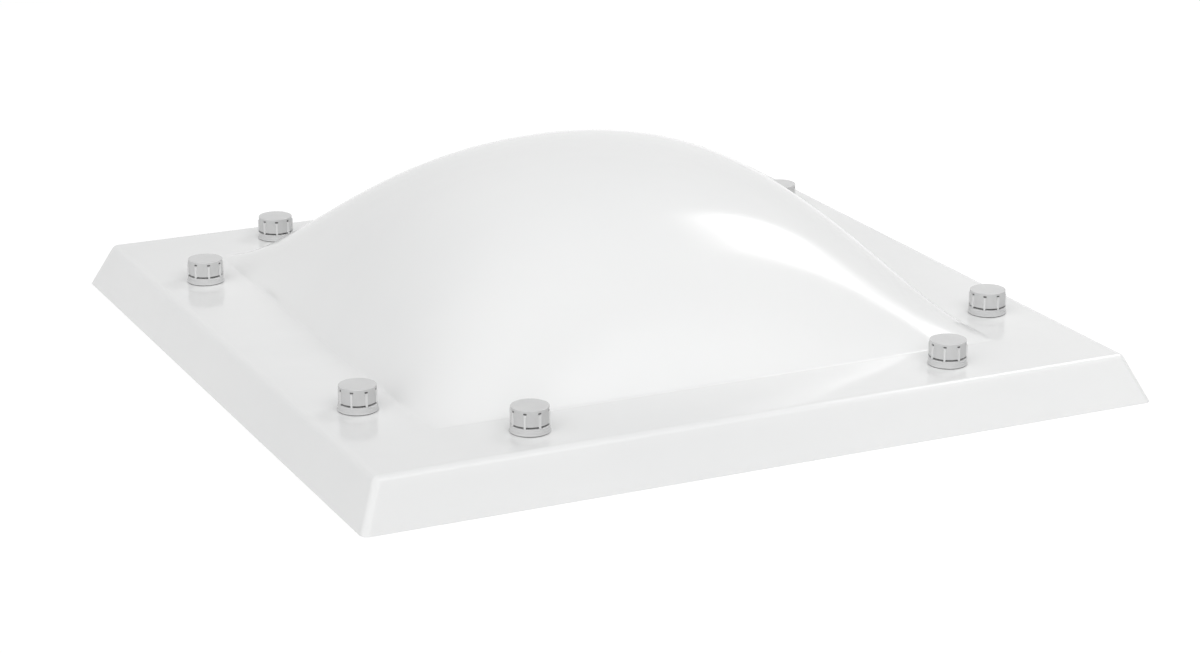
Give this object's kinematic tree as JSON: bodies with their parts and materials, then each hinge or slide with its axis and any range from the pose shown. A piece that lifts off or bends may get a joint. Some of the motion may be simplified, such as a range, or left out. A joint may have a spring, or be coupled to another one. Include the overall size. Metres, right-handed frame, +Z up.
{
  "type": "dome skylight",
  "caption": "Square roof skylight: one opal sheet blown into a dome with a flat flange and a flared skirt, held by ribbed capped screws over a foam seal.",
  "frame": {"origin": "centre of the plane of the rim that the shell stands on", "axes": "+Z up through the crown of the dome, +X along the front side, +Y from the front side to the back"},
  "size_m": [0.852, 0.852, 0.216],
  "materials": {
    "opal_acrylic": "gloss",
    "cap_plastic": "gloss",
    "seal_foam": "matte",
    "screw_steel": "satin"
  },
  "bodies": {
    "root": {"dome_shell": "opal_acrylic", "foam_seal_front": "seal_foam", "foam_seal_right": "seal_foam", "foam_seal_back": "seal_foam", "foam_seal_left": "seal_foam", "screw_caps_front": "cap_plastic", "screw_caps_right": "cap_plastic", "screw_caps_back": "cap_plastic", "screw_caps_left": "cap_plastic", "cap_bases_front": "cap_plastic", "cap_bases_right": "cap_plastic", "cap_bases_back": "cap_plastic", "cap_bases_left": "cap_plastic", "fixing_screws_front": "screw_steel", "fixing_screws_right": "screw_steel", "fixing_screws_back": "screw_steel", "fixing_screws_left": "screw_steel"}
  },
  "joints": []
}
